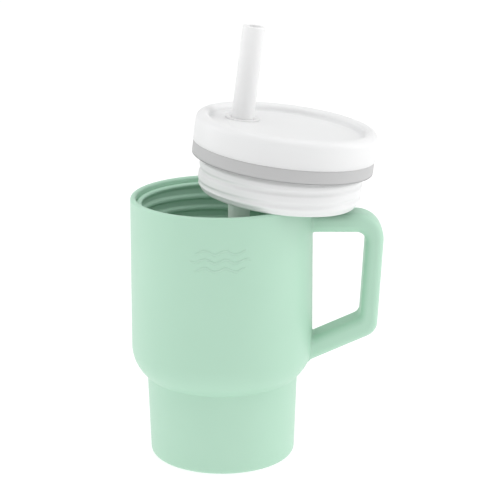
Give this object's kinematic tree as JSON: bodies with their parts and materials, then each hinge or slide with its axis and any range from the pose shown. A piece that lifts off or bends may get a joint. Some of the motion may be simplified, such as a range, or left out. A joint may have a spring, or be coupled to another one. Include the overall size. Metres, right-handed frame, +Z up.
{
  "type": "straw tumbler with lid",
  "caption": "Double-wall tumbler with side handle, screw-plug lid lifted off and leaning on the rim, silicone seal ring and drinking straw.",
  "frame": {"origin": "centre of the flat underside of the mug, on the mug's axis", "axes": "+Z up along the mug's axis, +X towards the handle, the straw is on the +Y side of the lid"},
  "size_m": [0.1077, 0.078, 0.1859],
  "materials": {
    "mint_plastic": "satin",
    "frosted_plastic": "satin, slightly translucent",
    "grey_silicone": "matt",
    "clear_silicone": "frosted, translucent"
  },
  "bodies": {
    "mug": {"outer_shell": "mint_plastic", "inner_liner": "mint_plastic"},
    "lid": {"lid_body": "frosted_plastic", "lid_seal": "grey_silicone", "straw_grommet": "clear_silicone"},
    "straw": {"straw_spout": "clear_silicone"},
    "straw_lower": {"straw_tube": "clear_silicone"}
  },
  "joints": [
    {"name": "lid_lift", "type": "slide", "parent": "mug", "child": "lid", "axis": [0, 0, 1], "range_m": [0, 0.11]},
    {"name": "straw_slide", "type": "slide", "parent": "lid", "child": "straw", "axis": [0.1236, 0, 0.9923], "range_m": [-0.012, 0.005]},
    {"name": "straw_bend", "type": "hinge", "parent": "straw", "child": "straw_lower", "pos_m": [0.00731, 0.00899, 0.13374], "axis": [0, 1, 0], "range_deg": [-3, 7.1]}
  ]
}
